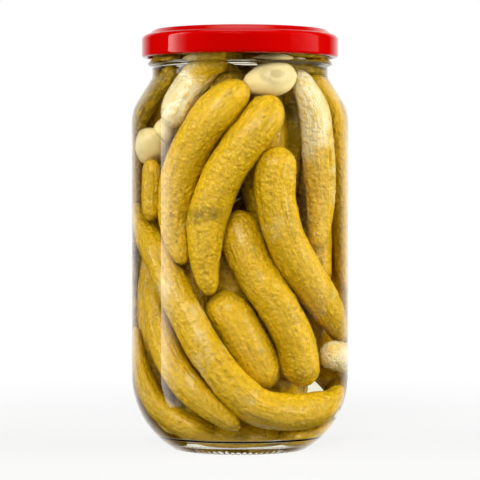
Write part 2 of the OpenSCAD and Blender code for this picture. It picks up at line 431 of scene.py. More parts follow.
def gherkin_skin(s):
    """Pickled gherkin skin: olive yellow with pale ends, streaks, warts and small dark pores."""
    material, tree = new_material("pickled_gherkin_skin")
    skin = node(tree, "ShaderNodeAttribute", {"attribute_name": "skin"}).outputs["Vector"]
    tone = node(tree, "ShaderNodeAttribute", {"attribute_name": "tone"}).outputs["Fac"]
    wart = node(tree, "ShaderNodeAttribute", {"attribute_name": "wart"}).outputs["Fac"]
    along = node(tree, "ShaderNodeMapping", Vector=skin, Scale=(1.0, 1.0, 0.09))
    streaks = node(tree, "ShaderNodeTexNoise", Vector=along, Scale=1 / (2.4 * MM), Detail=3.0,
                   Roughness=0.6)
    blotches = node(tree, "ShaderNodeTexNoise", Vector=skin, Scale=1 / (17 * MM), Detail=3.0,
                    Roughness=0.55)
    mottle = node(tree, "ShaderNodeTexNoise", Vector=skin, Scale=1 / (1.5 * MM), Detail=2.0)
    pores = node(tree, "ShaderNodeTexVoronoi", Vector=skin, Scale=1 / (3.1 * MM))
    grooves = node(tree, "ShaderNodeTexNoise", Vector=along, Scale=1 / (1.1 * MM), Detail=3.0)
    grains = node(tree, "ShaderNodeTexNoise", Vector=skin, Scale=1 / (1.3 * MM), Detail=2.0)
    pebbles = node(tree, "ShaderNodeTexVoronoi", {"feature": "SMOOTH_F1"}, Vector=skin,
                   Scale=1 / (1.9 * MM))

    skin_c, pale_c, deep_c = [(*c, 1.0) for c in (s.skin, s.pale, s.deep)]
    stops = [(0.24, linear("8c6c04")), (0.44, skin_c), (0.76, linear("cca00a"))]
    base = ramp(tree, streaks, stops)
    shade = math_node(tree, "ADD", blotches, tone)
    freckled = node(tree, "ShaderNodeMapRange", Value=mottle, From_Min=0.45, From_Max=0.68,
                    To_Min=0.0, To_Max=0.65)
    darker = node(tree, "ShaderNodeMapRange", SMOOTH, Value=shade, From_Min=0.46, From_Max=0.22,
                  To_Min=0.0, To_Max=0.8)
    paler = node(tree, "ShaderNodeMapRange", SMOOTH, Value=shade, From_Min=0.7, From_Max=1.02)
    warty = math_node(tree, "MULTIPLY", wart, 0.35)
    speck = node(tree, "ShaderNodeMapRange", Value=pores, From_Min=0.1, From_Max=0.17,
                 To_Min=0.5, To_Max=0.0)
    speck = math_node(tree, "MULTIPLY", speck, math_node(tree, "SUBTRACT", 1.0, paler))
    raised = node(tree, "ShaderNodeMapRange", Value=pebbles, From_Min=0.15, From_Max=0.5,
                  To_Min=0.5, To_Max=0.0)
    layers = ((freckled, linear("cc9e0c")), (darker, deep_c), (paler, pale_c),
              (warty, linear("e0be34")), (speck, deep_c), (raised, linear("d4aa14")))
    for share, colour in layers:
        base = mix(tree, share, base, colour)

    relief = math_node(tree, "ADD", grooves, math_node(tree, "MULTIPLY", grains, 1.2))
    relief = math_node(tree, "SUBTRACT", relief, math_node(tree, "MULTIPLY", pebbles, 1.3))
    bump = node(tree, "ShaderNodeBump", Strength=1.0, Distance=0.6 * MM, Height=relief)
    rough = node(tree, "ShaderNodeMapRange", Value=mottle, To_Min=0.2, To_Max=0.38)
    shader = node(tree, "ShaderNodeBsdfPrincipled", Base_Color=base, IOR=1.5, Roughness=rough,
                  Normal=bump, Specular_IOR_Level=0.3, Coat_Weight=0.35, Coat_Roughness=0.16,
                  Subsurface_Weight=0.12, Subsurface_Radius=(1.0, 0.7, 0.2),
                  Subsurface_Scale=2.0 * MM)
    node(tree, "ShaderNodeOutputMaterial", Surface=shader)
    return material


def garlic_flesh(s):
    """Peeled garlic: waxy cream flesh with faint veins and a browner root end."""
    material, tree = new_material("peeled_garlic")
    skin = node(tree, "ShaderNodeAttribute", {"attribute_name": "skin"}).outputs["Vector"]
    root = node(tree, "ShaderNodeAttribute", {"attribute_name": "root"}).outputs["Fac"]
    along = node(tree, "ShaderNodeMapping", Vector=skin, Scale=(1.0, 1.0, 0.12))
    veins = node(tree, "ShaderNodeTexNoise", Vector=along, Scale=1 / (2.2 * MM), Detail=2.0)
    faint = math_node(tree, "MULTIPLY", veins, 0.2)
    base = mix(tree, faint, (*s.flesh, 1.0), (*s.vein, 1.0))
    base = mix(tree, root, base, linear("a98545"))
    bump = node(tree, "ShaderNodeBump", Strength=0.12, Distance=0.3 * MM, Height=veins)
    shader = node(tree, "ShaderNodeBsdfPrincipled", Base_Color=base, IOR=1.4, Roughness=0.3,
                  Normal=bump, Subsurface_Weight=0.2, Subsurface_Radius=(1.0, 0.8, 0.45),
                  Subsurface_Scale=2.5 * MM)
    node(tree, "ShaderNodeOutputMaterial", Surface=shader)
    return material


# ---------------------------------------------------------------- contents

Gherkin = namedtuple("Gherkin", "turn top leans long girth backs ends tones stem")

# Each gherkin lies along the glass. turn and top place its upper end, in degrees from the front
# and millimetres above the table. leans are its lean at the top, halfway and at the tip, in
# degrees from straight down. backs are how far behind the glass its two ends lie, ends how blunt
# they are, tones how pale the skin is there, and stem says which end has the stem.
FRONT = (
    Gherkin(-16, 169, (-58, -20, -8), 38, 15.0, (0, 0), (0.9, 0.8), (0.2, 0.6), 0),
    Gherkin(10, 157, (-48, -20, 36), 88, 16.4, (5, 0), (0.8, 0.4), (0.05, 0.2), 0),
    Gherkin(31, 152, (-40, -18, 22), 92, 16.6, (3, 0), (0.8, 0.4), (0.0, -0.05), 0),
    Gherkin(54, 164, (-4, 4, -24), 78, 14.8, (0, 0), (0.6, 0.5), (0.62, 0.05), 0),
    Gherkin(24, 134, (-14, 37, 44), 108, 16.4, (0, 0), (0.85, 0.5), (0.1, 0.12), 0),
    Gherkin(-11, 104, (6, 34, -6), 88, 16.4, (10, 4), (0.8, 0.85), (-0.02, 0.02), 0),
    Gherkin(-17, 67, (26, 26, 14), 46, 17.6, (10, 9), (0.85, 0.8), (0.0, -0.05), 0),
    Gherkin(-92, 109, (58, 37, 136), 158, 14.8, (0, 0), (0.6, 0.6), (0.2, 0.1), 0),
    Gherkin(-64, 84, (-12, 37, 54), 86, 13.2, (7, 0), (0.6, 0.5), (0.1, 0.05), 1),
    Gherkin(-86, 50, (8, 62, 110), 96, 11.6, (0, 0), (0.6, 0.7), (0.08, 0.0), 0),
    Gherkin(-72, 123, (4, 0, -4), 28, 11.2, (0, 0), (0.8, 0.8), (0.3, 0.1), 0),
    Gherkin(-60, 120, (-14, -4, 8), 34, 10.5, (13, 13), (0.7, 0.6), (0.0, 0.0), 0),
    Gherkin(-64, 168, (-30, -24, -18), 36, 14.0, (0, 0), (0.6, 0.6), (-0.3, -0.25), 0),
    Gherkin(-72, 170, (-25, -20, -20), 36, 12.5, (10, 10), (0.7, 0.6), (-0.2, -0.1), 0),
    Gherkin(82, 162, (14, 4, 0), 94, 13.6, (0, 0), (0.7, 0.5), (-0.02, 0.0), 0),
    Gherkin(70, 114, (2, 0, 6), 58, 13.0, (8, 8), (0.7, 0.6), (-0.1, -0.1), 0),
    Gherkin(50, 42, (84, 90, 94), 54, 13.0, (6, 0), (0.8, 0.6), (0.5, 0.45), 0),
    Gherkin(32, 10, (80, 100, 120), 66, 13.0, (3, 0), (0.6, 0.6), (0.0, 0.0), 0),
    Gherkin(10, 170, (60, 86, 100), 60, 13.0, (12, 8), (0.7, 0.6), (-0.25, -0.2), 0),
)

# Rows of gherkins behind and within: how many, first turn, step, height, length, and depth.
BACK = (
    (7, 106, 25, 170, 86, 0),
    (7, 98, 27, 92, 84, 0),
    (5, 20, 72, 172, 78, 15),
    (5, 50, 72, 94, 78, 16),
    (3, 90, 120, 172, 76, 26),
    (3, 0, 120, 90, 76, 26),
)
SEED = 7

# How many gherkins each piece holds, in the order in which they are laid.
GROUPS = {"gherkins_front": 9, "gherkins_side": 9, "gherkins_back": 14, "gherkins_core": 17}

# How firmly the gherkins of the front, the rows, the opening and the cloves give way.
FRONT_GIVES, ROWS_GIVE, FIXED_GIVES = 0.1, 1.0, 0.02

# A narrow opening between the gherkins through which light shows: its two ends as (turn,
# height, distance from the axis).
OPENING = ((61, 33, 44), (154, 28, 44))

# Garlic cloves: where (turn, height, distance from the axis), lean, roll, tip up or down, length
# and plumpness.
CLOVES = (
    ((19, 156.5, 33), 62, 0, -1, 26.0, 0.70),
    ((-70, 131, 35.5), -40, 60, 1, 18.0, 0.92),
    ((-53, 140, 34), 8, 20, -1, 12.0, 0.84),
    ((150, 150, 32), 60, 0, 1, 23.0, 0.62),
    ((215, 96, 36), 20, 0, -1, 22.0, 0.62),
)


class Wall:
    """Inside of the glass as points with inward normals, to keep the contents off it."""

    def __init__(self, g):
        line = [p for p in inside(g) if p[1] < g.height]
        line.append((g.neck_r - g.wall, g.height))
        points, normals = [], []
        for (r0, z0), (r1, z1) in zip(line, line[1:]):
            span = math.hypot(r1 - r0, z1 - z0)
            if span < 1e-7:
                continue
            count = max(1, int(span / (1.0 * MM)))
            for i in range(count):
                t = (i + 0.5) / count
                points.append((r0 + (r1 - r0) * t, z0 + (z1 - z0) * t))
                normals.append((-(z1 - z0) / span, (r1 - r0) / span))
        self.points, self.normals = np.array(points), np.array(normals)

    def radius(self, z):
        """Inner radius at a height."""
        upper = self.points[self.points[:, 0] > 20 * MM]
        order = np.argsort(upper[:, 1])
        return float(np.interp(z, upper[order, 1], upper[order, 0]))

    def push(self, spots, radii):
        """Moves points inward until each is its own radius off the glass."""
        flat = np.hypot(spots[:, 0], spots[:, 1])
        here = np.stack([flat, spots[:, 2]], axis=1)
        away = here[:, None, :] - self.points[None, :, :]
        near = np.argmin((away ** 2).sum(axis=2), axis=1)
        off = (away[np.arange(len(here)), near] * self.normals[near]).sum(axis=1)
        short = np.maximum(0.0, radii + 0.35 * MM - off)
        here = here + self.normals[near] * short[:, None]
        scale = np.maximum(here[:, 0], 1e-6) / np.maximum(flat, 1e-6)
        spots[:, 0] *= scale
        spots[:, 1] *= scale
        spots[:, 2] = here[:, 1]


def course(wall, one):
    """Centre line of one gherkin along the inside of the glass, in even steps."""
    count = max(5, round(one.long / 5.0))
    step = one.long * MM / (count - 1)
    angle, z = math.radians(one.turn), one.top * MM
    upper, middle, lower = one.leans
    near, far = one.backs
    spots = []
    for i in range(count):
        t = i / (count - 1)
        gap = one.girth / 2 * MM + (near + (far - near) * t) * MM
        r = max(4 * MM, wall.radius(z) - gap)
        spots.append((r * math.sin(angle), -r * math.cos(angle), z))
        h = math.radians(upper * (1 - t) * (1 - 2 * t) + 4 * middle * t * (1 - t)
                         + lower * t * (2 * t - 1))
        angle += math.sin(h) * step / r
        z -= math.cos(h) * step
    return np.array(spots)


def end_shape(s, belly, blunt):
    """Share of the full girth at a distance from one end."""
    reach = (8 + 52 * (1 - blunt)) * MM
    taper = blunt + (1 - blunt) * math.sin(0.5 * math.pi * min(1.0, s / reach))
    nose = min(1.0, s / (belly * (0.35 + 0.75 * blunt)))
    return taper * math.sqrt(max(0.0, 1 - (1 - nose) ** 2))


def girth_at(s, one):
    """Radius of a gherkin at a distance from its upper end."""
    belly, long = one.girth / 2 * MM, one.long * MM
    s = min(max(s, 0.0), long)
    r = belly * end_shape(s, belly, one.ends[0]) * end_shape(long - s, belly, one.ends[1])
    nub = s if one.stem < 0 else long - s
    if one.stem and nub < 1.5 * MM:
        r = max(r, 1.3 * MM)
    return max(r, 0.04 * MM)


def settle(wall, level, chains, radii, weights, rounds=220):
    """Pushes the gherkins off the glass and apart, as far as their shapes and the room allow."""
    start = np.concatenate(chains)
    spots = start.copy()
    rad = np.concatenate(radii)
    owner = np.concatenate([np.full(len(c), i) for i, c in enumerate(chains)])
    weight = np.concatenate([np.full(len(c), w) for c, w in zip(chains, weights)])
    same = owner[:, None] == owner[None, :]
    reach = rad[:, None] + rad[None, :]
    share = weight[:, None] / (weight[:, None] + weight[None, :])
    bounds = np.cumsum([0] + [len(c) for c in chains])
    for turn in range(rounds):
        away = spots[:, None, :] - spots[None, :, :]
        far = np.sqrt((away ** 2).sum(axis=2)) + 1e-9
        cut = np.where(same, 0.0, np.maximum(0.0, reach - far))
        push = (away / far[:, :, None] * (cut * share)[:, :, None]).sum(axis=1)
        count = np.maximum(1, (cut > 0).sum(axis=1))
        spots = spots + push / count[:, None] * 1.1
        moved = spots - start
        for a, b in zip(bounds, bounds[1:]):
            part = moved[a:b]
            blur = part.copy()
            blur[1:-1] = (part[:-2] + 2 * part[1:-1] + part[2:]) / 4
            blur[0] = (part[0] * 2 + part[1]) / 3
            blur[-1] = (part[-1] * 2 + part[-2]) / 3
            spots[a:b] = start[a:b] + (blur if turn < rounds - 6 else part)
        wall.push(spots, rad)
        spots[:, 2] = np.minimum(spots[:, 2], level - rad * 0.6)
    return [spots[a:b] for a, b in zip(bounds, bounds[1:])]


def hermite(points, steps):
    """A smooth line through points, sampled at the given shares of its length."""
    pts = [Vector(p) for p in points]
    pts = [2 * pts[0] - pts[1]] + pts + [2 * pts[-1] - pts[-2]]
    spans = len(points) - 1
    out = []
    for u in steps:
        x = min(spans - 1e-6, max(0.0, u * spans))
        i = int(x)
        t = x - i
        a, b, c, d = pts[i:i + 4]
        out.append(0.5 * (2 * b + (c - a) * t + (2 * a - 5 * b + 4 * c - d) * t * t
                          + (3 * b - a - 3 * c + d) * t ** 3))
    return out


def lay_contents(g, level):
    """Every gherkin's centre line and girth, settled in the jar."""
    wall = Wall(g)
    rng = random.Random(SEED)
    rows = list(FRONT)
    for count, first, step, height, long, depth in BACK:
        for i in range(count):
            lean = rng.uniform(-26, 26)
            rows.append(Gherkin(
                first + step * i + rng.uniform(-5, 5), height + rng.uniform(-4, 1),
                (lean, 0.0, -lean), long + rng.uniform(-14, 10), rng.uniform(14.5, 18),
                (depth, depth), (rng.uniform(0.55, 0.85), rng.uniform(0.4, 0.8)),
                (rng.uniform(-0.15, 0.2), rng.uniform(-0.15, 0.2)), rng.choice((-1, 0, 1))))
    chains, radii, weights = [], [], []
    for i, one in enumerate(rows):
        line = course(wall, one)
        n = len(line)
        sizes = [girth_at(k / (n - 1) * one.long * MM, one) for k in range(n)]
        chains.append(line)
        radii.append(np.maximum(np.array(sizes), 2.5 * MM))
        weights.append(FRONT_GIVES if i < len(FRONT) else ROWS_GIVE)
    near, far = [np.array(place(spot)) for spot in OPENING]
    chains.append(np.array([near + (far - near) * i / 16 for i in range(17)]))
    radii.append(np.full(17, 4.2 * MM))
    weights.append(FIXED_GIVES)
    for spot, _, _, _, size, plump in CLOVES:
        chains.append(np.array([place(spot)] * 2))
        radii.append(np.full(2, size * plump * 0.45 * MM))
        weights.append(FIXED_GIVES)
    settled = settle(wall, level, chains, radii, weights)
    return list(zip(rows, settled)), settled[len(rows) + 1:]


def place(spot):
    """A point from its turn in degrees, height and distance from the axis in millimetres."""
    a = math.radians(spot[0])
    return (spot[2] * MM * math.sin(a), -spot[2] * MM * math.cos(a), spot[1] * MM)


# ---------------------------------------------------------------- gherkin tree

def gherkin_tree():
    """Geometry Nodes: sweeps a skin with ridges, warts and lumps along centre lines."""
    tree = bpy.data.node_groups.new("gherkin_skin_tree", "GeometryNodeTree")
    face = tree.interface
    face.new_socket("Geometry", in_out="INPUT", socket_type="NodeSocketGeometry")
    for name in ("Ridge Width", "Ridge Height", "Wart Spacing", "Wart Height", "Lump Width",
                 "Lump Height"):
        face.new_socket(name, in_out="INPUT", socket_type="NodeSocketFloat")
    face.new_socket("Sides", in_out="INPUT", socket_type="NodeSocketInt")
    face.new_socket("Material", in_out="INPUT", socket_type="NodeSocketMaterial")
    face.new_socket("Geometry", in_out="OUTPUT", socket_type="NodeSocketGeometry")
    given = node(tree, "NodeGroupInput").outputs

    def named(name, kind="FLOAT"):
        return node(tree, "GeometryNodeInputNamedAttribute", {"data_type": kind},
                    Name=name)

    def store(geometry, name, value, kind="FLOAT"):
        return node(tree, "GeometryNodeStoreNamedAttribute",
                    {"data_type": kind, "domain": "POINT"}, Geometry=geometry, Name=name,
                    Value=value)

    def vector(operation, a, b, **more):
        return node(tree, "ShaderNodeVectorMath", {"operation": operation}, _0=a, _1=b,
                    **more)

    def scaled(value, factor):
        return node(tree, "ShaderNodeVectorMath", {"operation": "SCALE"}, _0=value,
                    Scale=factor)

    lines = node(tree, "GeometryNodeMeshToCurve", Mesh=given["Geometry"])
    ring = node(tree, "GeometryNodeCurvePrimitiveCircle", Resolution=given["Sides"],
                Radius=1.0)
    ring = store(ring, "round", node(tree, "GeometryNodeInputPosition"),
                 "FLOAT_VECTOR")
    tube = node(tree, "GeometryNodeCurveToMesh", Curve=lines, Profile_Curve=ring,
                Scale=named("girth"), Fill_Caps=True)
    around = scaled(named("round", "FLOAT_VECTOR"), named("girth"))
    along = node(tree, "ShaderNodeCombineXYZ", Z=named("along"))
    place_on_skin = vector("ADD", vector("ADD", around, along), named("shift", "FLOAT_VECTOR"))
    tube = store(tube, "skin", place_on_skin, "FLOAT_VECTOR")
    skin = named("skin", "FLOAT_VECTOR")

    flat = vector("MULTIPLY", skin, (1.0, 1.0, 0.1))
    per = math_node(tree, "DIVIDE", 1.0, given["Ridge Width"])
    ridges = node(tree, "ShaderNodeTexNoise", Vector=flat, Scale=per, Detail=1.0)
    ridges = math_node(tree, "MULTIPLY", math_node(tree, "SUBTRACT", ridges, 0.5),
                       given["Ridge Height"])
    per = math_node(tree, "DIVIDE", 1.0, given["Lump Width"])
    lumps = node(tree, "ShaderNodeTexNoise", Vector=skin, Scale=per, Detail=1.0)
    lumps = math_node(tree, "MULTIPLY", math_node(tree, "SUBTRACT", lumps, 0.5),
                      given["Lump Height"])
    per = math_node(tree, "DIVIDE", 1.0, given["Wart Spacing"])
    cells = node(tree, "ShaderNodeTexVoronoi", Vector=skin, Scale=per, Randomness=0.9)
    bump = node(tree, "ShaderNodeMapRange", SMOOTH,
                Value=cells, From_Min=0.1, From_Max=0.34, To_Min=1.0,
                To_Max=0.0)
    some = node(tree, "ShaderNodeSeparateXYZ", _0=cells.outputs["Color"])
    some = node(tree, "ShaderNodeMapRange", Value=some, From_Min=0.25, From_Max=0.9)
    bump = math_node(tree, "MULTIPLY", bump, some)
    tube = store(tube, "wart", bump)
    warts = math_node(tree, "MULTIPLY", bump, given["Wart Height"])
    relief = math_node(tree, "ADD", math_node(tree, "ADD", ridges, lumps), warts)
    fullness = math_node(tree, "DIVIDE", named("girth"), named("belly"), clamp=True)
    relief = math_node(tree, "MULTIPLY", relief, fullness)
    normal = node(tree, "GeometryNodeInputNormal")
    tube = node(tree, "GeometryNodeSetPosition", Geometry=tube,
                Offset=scaled(normal, relief))
    tube = node(tree, "GeometryNodeSetShadeSmooth", Geometry=tube)
    tube = node(tree, "GeometryNodeRealizeInstances", Geometry=tube)
    tube = node(tree, "GeometryNodeSetMaterial", Geometry=tube,
                Material=given["Material"])
    node(tree, "NodeGroupOutput", _0=tube)
    return tree


def grow(name, lines, tree, values):
    """Runs a tree on centre lines and returns its result as a plain mesh object."""
    mesh = bpy.data.meshes.new(name + "_lines")
    verts = [p for line in lines for p in line["spots"]]
    edges, at = [], 0
    for line in lines:
        n = len(line["spots"])
        edges += [(at + i, at + i + 1) for i in range(n - 1)]
        at += n
    mesh.from_pydata(verts, edges, [])
    for key in ("girth", "belly", "along", "tone"):
        layer = mesh.attributes.new(key, "FLOAT", "POINT")
        layer.data.foreach_set("value", [v for line in lines for v in line[key]])
    layer = mesh.attributes.new("shift", "FLOAT_VECTOR", "POINT")
    layer.data.foreach_set("vector", [c for line in lines for v in line["shift"] for c in v])
    source = bpy.data.objects.new(name + "_source", mesh)
    bpy.context.scene.collection.objects.link(source)
    modifier = source.modifiers.new("grow", "NODES")
    modifier.node_group = tree
    for item in tree.interface.items_tree:
        if item.in_out == "INPUT" and item.name in values:
            modifier[item.identifier] = values[item.name]
    result = source.evaluated_get(bpy.context.evaluated_depsgraph_get())
    grown = bpy.data.meshes.new_from_object(result)
    grown.name = name
    piece = bpy.data.objects.new(name, grown)
    bpy.context.scene.collection.objects.link(piece)
    source.modifiers.clear()
    bpy.data.objects.remove(source)
    return piece


def gherkin_line(one, spots, index, pitch):
    """Points, girths and skin places along one gherkin, for the tree."""
    long = one.long * MM
    rings = max(24, round(long / pitch))
    shares = []
    for i in range(rings + 1):
        u = i / rings
        shares.append(0.5 * u + 0.5 * (0.5 - 0.5 * math.cos(math.pi * u)))
    rng = random.Random(SEED * 101 + index)
    shift = tuple(rng.uniform(-0.5, 0.5) for _ in range(3))
    pale, pale2 = one.tones
    return {
        "spots": hermite(spots, shares), "girth": [girth_at(u * long, one) for u in shares],
        "belly": [one.girth / 2 * MM] * len(shares), "along": [u * long for u in shares],
        "tone": [pale + (pale2 - pale) * u for u in shares], "shift": [shift] * len(shares),
    }


# ---------------------------------------------------------------- operators

def ride(piece, slot, *replaced):
    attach(piece, "root")
    if replaced:
        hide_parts(*replaced)


class JAR_OT_glass(bpy.types.Operator):
    """Make the glass: body, neck, bead, threads, rim, and the knurled standing ring"""
    bl_idname = "pickle_jar.glass"
    bl_label = "Glass Jar"

    def execute(self, context):
        g = context.scene.jar_glass
        level = context.scene.jar_brine.level
        bead_top = g.height - g.finish_h + g.bead_h
        face = inner_face(g)
        knurls = 72

        def relief(a, r, z):
            inner = r < g.body_r and near_inside(g, face, r, z)
            if inner and z > 20 * MM:
                fade = smoothstep(20 * MM, 40 * MM, z) * smoothstep(g.height, 160 * MM, z)
                wave = math.sin(2 * a + 0.7 + 22 * z) + 0.7 * math.sin(3 * a - 35 * z)
                return r + g.wave * wave * fade * 0.6, z
            if r >= g.neck_r - 1e-6 and z > bead_top:
                return r + thread_relief(g, a, z), z
            if z < 0.4 * MM and abs(r - g.ring_r + g.ring_w / 2) < g.ring_w:
                return r, z + 0.28 * MM * max(0.0, math.sin(a * knurls)) ** 0.7
            return r, z

        outline = (underside(g) + side(g, 0.0, heel_of(g)[2])[1:] + finish(g)
                   + inside(g)[::-1])
        piece = lathe("glass_jar", outline, 288, relief)
        piece.data.materials.append(glass_dry())
        piece.data.materials.append(glass_wet())
        for part in piece.data.polygons:
            c = part.center
            if near_inside(g, face, math.hypot(c.x, c.y), c.z) and c.z < level - 0.2 * MM:
                part.material_index = 1
        ride(piece, "glass", "jar")
        return {"FINISHED"}


def inner_face(g):
    """Points along the inner face of the glass, four to each step of its outline."""
    line = inside(g) + [(g.neck_r - g.wall, g.height)]
    return np.array([(r0 + (r1 - r0) * i / 4, z0 + (z1 - z0) * i / 4)
                     for (r0, z0), (r1, z1) in zip(line, line[1:]) for i in range(4)])


def near_inside(g, face, r, z):
    """Whether a point of the glass lies on its inner face and not on its outer one."""
    if z < g.floor_t - 0.3 * MM:
        return False
    return bool(np.hypot(face[:, 0] - r, face[:, 1] - z).min() < g.wall * 0.42)


class JAR_OT_brine(bpy.types.Operator):
    """Make the brine, reaching just into the glass, with a meniscus round its surface"""
    bl_idname = "pickle_jar.brine"
    bl_label = "Brine"

    def execute(self, context):
        g, b = context.scene.jar_glass, context.scene.jar_brine
        edge = g.neck_r - g.wall
        outline = inside(g, b.overlap)
        outline += [(edge + b.overlap, b.level + b.creep * 0.9), (edge, b.level + b.creep)]
        width = 4 * MM
        for i in range(1, 9):
            t = i / 8
            outline.append((edge - width * t, b.level + b.creep * (1 - t) ** 3))
        outline += [(edge * 0.5, b.level), (0.0, b.level)]
        piece = lathe("brine", outline, 192)
        piece.data.materials.append(brine_material("brine_at_glass", False, b.colour))
        piece.data.materials.append(brine_material("brine_surface", True, b.colour))
        for face in piece.data.polygons:
            if face.center.z > b.level - 0.05 * MM and math.hypot(*face.center.xy) < edge:
                face.material_index = 1
        ride(piece, "brine", "brine")
        return {"FINISHED"}


class JAR_OT_lid(bpy.types.Operator):
    """Make the lid: red outside, gold inside, with a rolled edge and lugs"""
    bl_idname = "pickle_jar.lid"
    bl_label = "Lid"

    def execute(self, context):
        d = context.scene.jar_lid
        top, low = LID_HIGH[2], LID_LOW[2]
        slope = math.degrees(d.channel_a)
        foot = 0.8 * MM
        shelf = top - d.channel_h
        fall = d.channel_h - (d.channel_r + foot) * (1 - math.cos(d.channel_a))
        foot_x = (d.channel_x + (d.channel_r + foot) * math.sin(d.channel_a)
                  + fall / math.tan(d.channel_a))
        panel = top - d.panel_drop
        step = math.acos(1 - d.panel_drop / (2 * d.bend_r))
        step_x = d.panel_r - 2 * d.bend_r * math.sin(step)
        ball = (d.button_r ** 2 + d.button_h ** 2) / (2 * d.button_h)
        rise = math.degrees(math.asin(d.button_r / ball))
        curl_x, curl_z = d.radius - d.curl_r, low + d.curl_r

        def line(t):
            return (arc(0.0, panel + d.button_h - ball, ball - t, 90, 90 - rise, 1)
                    + arc(step_x, panel + d.bend_r, d.bend_r + t, -90,
                          -90 + math.degrees(step), 12)
                    + arc(d.panel_r, top - d.bend_r, d.bend_r - t, 90 + math.degrees(step), 90, 12)
                    + arc(d.channel_x, top - d.channel_r, d.channel_r - t, 90, 90 - slope)
                    + arc(foot_x, shelf + foot, foot + t, 270 - slope, 270, 12)
                    + arc(d.radius - d.corner_r, shelf - d.corner_r, d.corner_r - t, 90, 0)
                    + [(d.radius - t, shelf - d.corner_r - 1.5 * MM * i) for i in (1, 2, 3)]
                    + arc(curl_x, curl_z, d.curl_r - t, 0, -260, 12))

        lug_a, share = math.radians(11.1), 2 * math.pi / d.lugs

        def lugs(a, r, z):
            off = math.degrees(abs((a - lug_a + share / 2) % share - share / 2))
            if z > low + 2.5 * MM or r > curl_x:
                return r, z
            pull = (curl_x - r) / d.curl_r * smoothstep(8.0, 5.5, off)
            return r - d.lug_out * pull, low + (z - low) * (1 - 0.4 * pull)

        outer, inner = line(0.0), line(d.sheet)
        piece = lathe("lid", outer + inner[::-1], 240, lugs)
        piece.data.materials.append(lid_red(d.colour))
        piece.data.materials.append(lid_lining())
        lined, red = np.array(inner), np.array(outer)
        for face in piece.data.polygons:
            c = face.center
            at = np.array((math.hypot(c.x, c.y), c.z))
            if np.hypot(*(lined - at).T).min() < np.hypot(*(red - at).T).min():
                face.material_index = 1
        ride(piece, "lid_red", "lid")
        return {"FINISHED"}


class JAR_OT_gherkins(bpy.types.Operator):
    """Lay the gherkins in the jar and grow their skins"""
    bl_idname = "pickle_jar.gherkins"
    bl_label = "Gherkins"

    def execute(self, context):
        scene = context.scene
        s, g, b = scene.jar_gherkins, scene.jar_glass, scene.jar_brine
        laid, cloves = lay_contents(g, b.level)
        scene["clove_spots"] = [list(map(float, c[0])) for c in cloves]
        tree = gherkin_tree()
        values = {
            "Ridge Width": s.ridge_w, "Ridge Height": s.ridge_h, "Wart Spacing": s.wart_gap,
            "Wart Height": s.wart_h, "Lump Width": s.lump_w, "Lump Height": s.lump_h,
            "Sides": s.sides, "Material": gherkin_skin(s),
        }
        lines = [gherkin_line(one, spots, i, s.pitch) for i, (one, spots) in enumerate(laid)]
        first = 0
        for name, count in GROUPS.items():
            ride(grow(name, lines[first:first + count], tree, values), "gherkin")
            first += count
        return {"FINISHED"}


def clove_mesh(name, cloves, spots):
    """Garlic cloves: a plump outer side, two flatter inner sides and a pointed tip."""
    verts, faces, skins, roots = [], [], [], []
    rings, sides = 40, 32
    for (spot, lean, roll, way, size, plumpness), centre in zip(cloves, spots):
        a = math.radians(spot[0])
        out = Vector((math.sin(a), -math.cos(a), 0.0))
        right = Vector((math.cos(a), math.sin(a), 0.0))
        up = Vector((0.0, 0.0, 1.0))
        h = math.radians(lean)
        axis = (up * math.cos(h) + right * math.sin(h)) * way
        turn = math.radians(roll)
        across = axis.cross(out).normalized()
        front = (out * math.cos(turn) + across * math.sin(turn)).normalized()
        across = axis.cross(front).normalized()
        base = len(verts)
        long, wide = size * MM, size * plumpness * MM
        for i in range(rings + 1):
            t = i / rings
            t = 0.5 - 0.5 * math.cos(math.pi * t)
            plump = max(0.02, math.sin(math.pi * t ** 0.8)) ** (0.5 + 0.5 * t)
            bow = 0.12 * wide * math.sin(math.pi * t)
            for j in range(sides):
                p = 2 * math.pi * j / sides
                x, y = math.cos(p), math.sin(p)
                depth = 0.52 if x > 0 else 0.40 * (1 - 0.25 * abs(y))
                corner = (Vector(centre) + axis * (t - 0.46) * long
                         + front * (x * depth * wide * plump + bow)
                         + across * (y * 0.5 * wide * plump))
                verts.append(corner)
                skins.append((x * wide / 2 + size * 0.01, y * wide / 2, t * long))
                roots.append(smoothstep(0.06, 0.0, t) * 0.9 + smoothstep(0.95, 1.0, t) * 0.6)
        for i in range(rings):
            for j in range(sides):
                k = (j + 1) % sides
                faces.append((base + i * sides + j, base + i * sides + k,
                              base + (i + 1) * sides + k, base + (i + 1) * sides + j))
        faces.append(tuple(base + j for j in range(sides))[::-1])
        faces.append(tuple(base + rings * sides + j for j in range(sides)))
    piece = add_mesh(name, verts, faces)
    layer = piece.data.attributes.new("skin", "FLOAT_VECTOR", "POINT")
    layer.data.foreach_set("vector", [c for v in skins for c in v])
    layer = piece.data.attributes.new("root", "FLOAT", "POINT")
    layer.data.foreach_set("value", roots)
    return piece


class JAR_OT_garlic(bpy.types.Operator):
    """Make the garlic cloves where the gherkins left them"""
    bl_idname = "pickle_jar.garlic"
    bl_label = "Garlic"

    def execute(self, context):
        spots = context.scene.get("clove_spots")
        if not spots:
            raise RuntimeError("lay the gherkins first")
        piece = clove_mesh("garlic_cloves", CLOVES, [tuple(s) for s in spots])
        piece.data.materials.append(garlic_flesh(context.scene.jar_garlic))
        ride(piece, "garlic")
        return {"FINISHED"}


